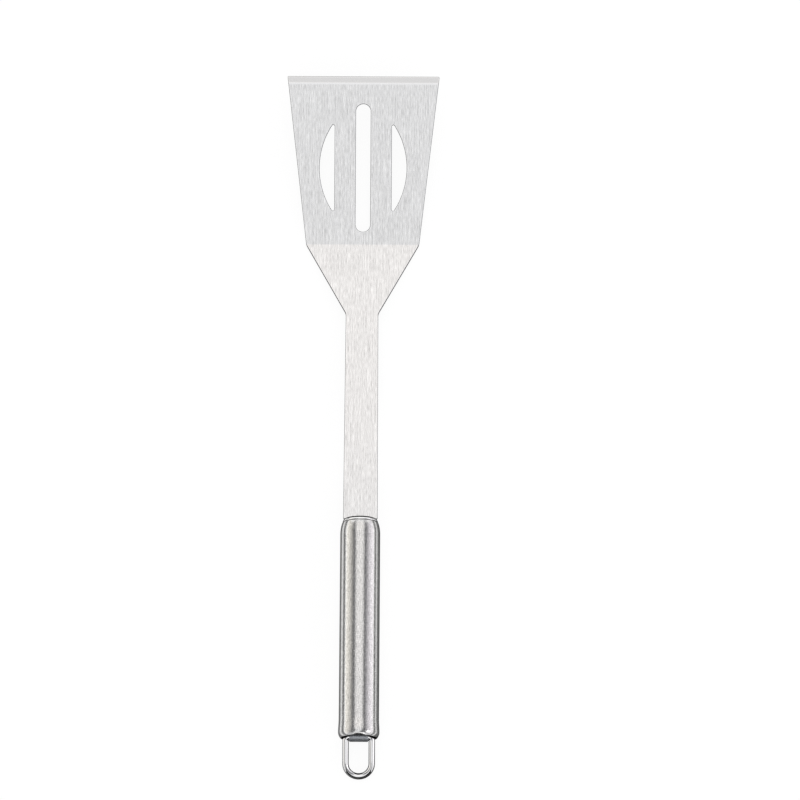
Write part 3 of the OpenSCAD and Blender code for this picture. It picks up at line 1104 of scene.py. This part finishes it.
paper = bpy.data.materials.new("sweep_paper")
tree = bare_tree(paper)
ray = tree.nodes.new("ShaderNodeLightPath").outputs
mirrored = maths(tree, "MAXIMUM", ray["Is Glossy Ray"], ray["Is Transmission Ray"])
share = maths(tree, "MAXIMUM", maths(tree, "MULTIPLY", ray["Is Camera Ray"], white_seen),
              maths(tree, "MULTIPLY", mirrored, white_mirrored))
matte = add(tree, "ShaderNodeBsdfDiffuse", {"Color": paper_white})
white = add(tree, "ShaderNodeEmission", {"Color": (1, 1, 1, 1), "Strength": white_level})
lit = add(tree, "ShaderNodeMixShader", {0: share, 1: matte, 2: white})
black = add(tree, "ShaderNodeEmission", {"Color": card_black, "Strength": 1.0})
carded = maths(tree, "MULTIPLY", card_and_shadow(tree), mirrored)
show(tree, add(tree, "ShaderNodeMixShader", {0: carded, 1: lit, 2: black}))
sweep.data.materials.append(paper)
print("the paper's material has", len(tree.nodes), "nodes")

# %% [markdown]
# ## A black card behind the loop
#
# The wire's black arcs come from a small black card that leans away from the tool just
# behind the loop. It is near, so it fills a large part of what the wire mirrors and
# hardly shows in the blade. Everything but a mirrored ray passes through its material.

# %% The card and its material
card_half_w = 28 * MM
card_foot = 20 * MM
card_lean = 40 * MM
card_height = 84 * MM

card_near_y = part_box("hanging_loop")[0].y - card_foot
card_corners = [(-card_half_w, card_near_y, 0), (card_half_w, card_near_y, 0),
                (card_half_w, card_near_y - card_lean, card_height),
                (-card_half_w, card_near_y - card_lean, card_height)]
card_mesh, black_card = new_mesh("black_card", card_corners, [(0, 1, 2, 3)])

card_paint = bpy.data.materials.new("card_black")
tree = bare_tree(card_paint)
only_mirrored = tree.nodes.new("ShaderNodeLightPath").outputs["Is Glossy Ray"]
clear = add(tree, "ShaderNodeBsdfTransparent", {})
dark = add(tree, "ShaderNodeEmission", {"Color": card_black, "Strength": 1.0})
show(tree, add(tree, "ShaderNodeMixShader", {0: only_mirrored, 1: clear, 2: dark}))
card_mesh.materials.append(card_paint)
print(f"card: {card_height / MM:.0f} mm high, {card_foot / MM:.0f} mm behind the loop")

# %% [markdown]
# ## The studio
#
# Polished steel shows what stands round it, so the studio is painted as directions: a
# long strip overhead, a soft glow on each side that deepens towards the horizon, a thin
# bright line at the foot of each glow, a broad box low in front, a dimmer glow behind and
# three small lamps behind and beside the tool. The gaps beside the strip stay dark and
# draw the dark bands along the tube. A softbox is a rectangle seen from its own middle:
# the direction is divided by its part along the box's axis, which gives how far across
# and along the rectangle it points, and soft steps make the edges. Where the camera
# itself looks past the floor, the world is plain white.

# %% The softbox group
softbox, given, result = new_group(
    "softbox",
    {"Direction": (VECTOR, (0, 0, 1)), "Facing": (VECTOR, (0, 0, 1)),
     "Across": (VECTOR, (1, 0, 0)), "Along": (VECTOR, (0, 1, 0)),
     "Half Width": (NUMBER, 0.3), "Half Length": (NUMBER, 1.0), "Softness": (NUMBER, 0.1)},
    {"Mask": NUMBER})


def soft_side(axis, half, depth):
    """1 inside the box's half size on one axis, falling off smoothly over its softness."""
    offset = maths(softbox, "ABSOLUTE", maths(softbox, "DIVIDE", vector_maths(
        softbox, "DOT_PRODUCT", given["Direction"], given[axis], output=1), depth))
    outer = maths(softbox, "ADD", given[half], given["Softness"])
    inner = maths(softbox, "SUBTRACT", given[half], given["Softness"])
    return add(softbox, "ShaderNodeMapRange", {0: offset, 1: outer, 2: inner, 3: 0.0, 4: 1.0},
               interpolation_type="SMOOTHSTEP")


least_depth = 0.02
depth = vector_maths(softbox, "DOT_PRODUCT", given["Direction"], given["Facing"], output=1)
ahead = maths(softbox, "GREATER_THAN", depth, least_depth)
held_depth = maths(softbox, "MAXIMUM", depth, least_depth)
inside = maths(softbox, "MULTIPLY", soft_side("Across", "Half Width", held_depth),
               soft_side("Along", "Half Length", held_depth))
link_all(softbox, result, {"Mask": maths(softbox, "MULTIPLY", inside, ahead)})
print(softbox.name, "has", len(softbox.nodes), "nodes")

# %% The boxes and the world
def towards(turn, tilt):
    """Unit vector tilted from straight up towards a compass turn, counted from +X to +Y."""
    turn, tilt = math.radians(turn), math.radians(tilt)
    return (math.sin(tilt) * math.cos(turn), math.sin(tilt) * math.sin(turn), math.cos(tilt))


# Each box: turn, tilt, half width, half length, softness, colour.
RIGHT, FRONT, LEFT, BACK = 0, 90, 180, 270
boxes = [
    (FRONT, 23, 0.40, 0.95, 0.17, (0.97, 0.97, 0.985)),
    (FRONT, 27, 0.40, 0.30, 0.19, (1.13, 1.10, 1.08)),
    (RIGHT + 3, 90, 1.13, 0.75, 0.96, (1.41, 1.36, 1.42)),
    (LEFT - 9, 90, 1.15, 0.65, 0.89, (1.36, 1.31, 1.22)),
    (RIGHT, 87.5, 0.88, 0.04, 0.04, (1.52, 1.51, 1.49)),
    (LEFT, 87.0, 2.00, 0.06, 0.03, (1.60, 1.60, 1.58)),
    (BACK, 80, 1.30, 0.62, 0.20, (0.72, 0.72, 0.73)),
    (RIGHT - 74, 62, 0.26, 0.35, 0.10, (1.68, 1.68, 1.68)),
    (LEFT + 75, 40, 0.28, 0.66, 0.10, (0.97, 0.97, 0.97)),
    (RIGHT - 21, 61, 0.22, 0.18, 0.06, (1.99, 1.99, 1.99)),
    (FRONT, 68, 1.00, 0.33, 0.08, (1.12, 1.12, 1.12)),
]

world = bpy.data.worlds.new("studio")
tree = bare_tree(world)
direction = add(tree, "ShaderNodeTexCoord", {}, output="Generated")
dim_room = (0.18, 0.18, 0.185, 1)
light = dim_room
for turn, tilt, half_width, half_length, softness, colour in boxes:
    mask = grouped(tree, softbox, {"Direction": direction, "Facing": towards(turn, tilt),
                                   "Across": towards(turn + 90, 90),
                                   "Along": towards(turn, tilt - 90), "Half Width": half_width,
                                   "Half Length": half_length, "Softness": softness})["Mask"]
    light = mixed_colour(tree, mask, light, (*colour, 1))
seen = tree.nodes.new("ShaderNodeLightPath").outputs["Is Camera Ray"]
shown = mixed_colour(tree, seen, light, (1, 1, 1, 1))
show(tree, add(tree, "ShaderNodeBackground", {"Color": shown, "Strength": 1.0}),
     "ShaderNodeOutputWorld")
bpy.context.scene.world = world
print(f"studio: {len(boxes)} boxes on a dim room")

# %% [markdown]
# ## The camera
#
# A long lens from well above, tilted back towards the tail. Its sensor is 36 mm wide.

# %% Camera
camera_distance = 2.3
camera_elevation = math.radians(74.97)
camera_azimuth = math.radians(0.31)
camera_sensor, camera_lens = 36, 215.65
look_across = 18.58 * MM
look_along = 165 * MM
looked_at = Vector((look_across, tail_mouth_y + look_along, axis_z))

camera_data = bpy.data.cameras.new("camera")
camera_data.sensor_width = camera_sensor
camera_data.lens = camera_lens
camera = bpy.data.objects.new("camera", camera_data)
bpy.context.scene.collection.objects.link(camera)
back = Vector((math.sin(camera_azimuth) * math.cos(camera_elevation),
               -math.cos(camera_azimuth) * math.cos(camera_elevation),
               math.sin(camera_elevation)))
camera.location = looked_at + back * camera_distance
camera.rotation_euler = (-back).to_track_quat("-Z", "Y").to_euler()
bpy.context.scene.camera = camera
bpy.context.scene.view_settings.view_transform = "Standard"
print("camera at", [round(v, 3) for v in camera.location])
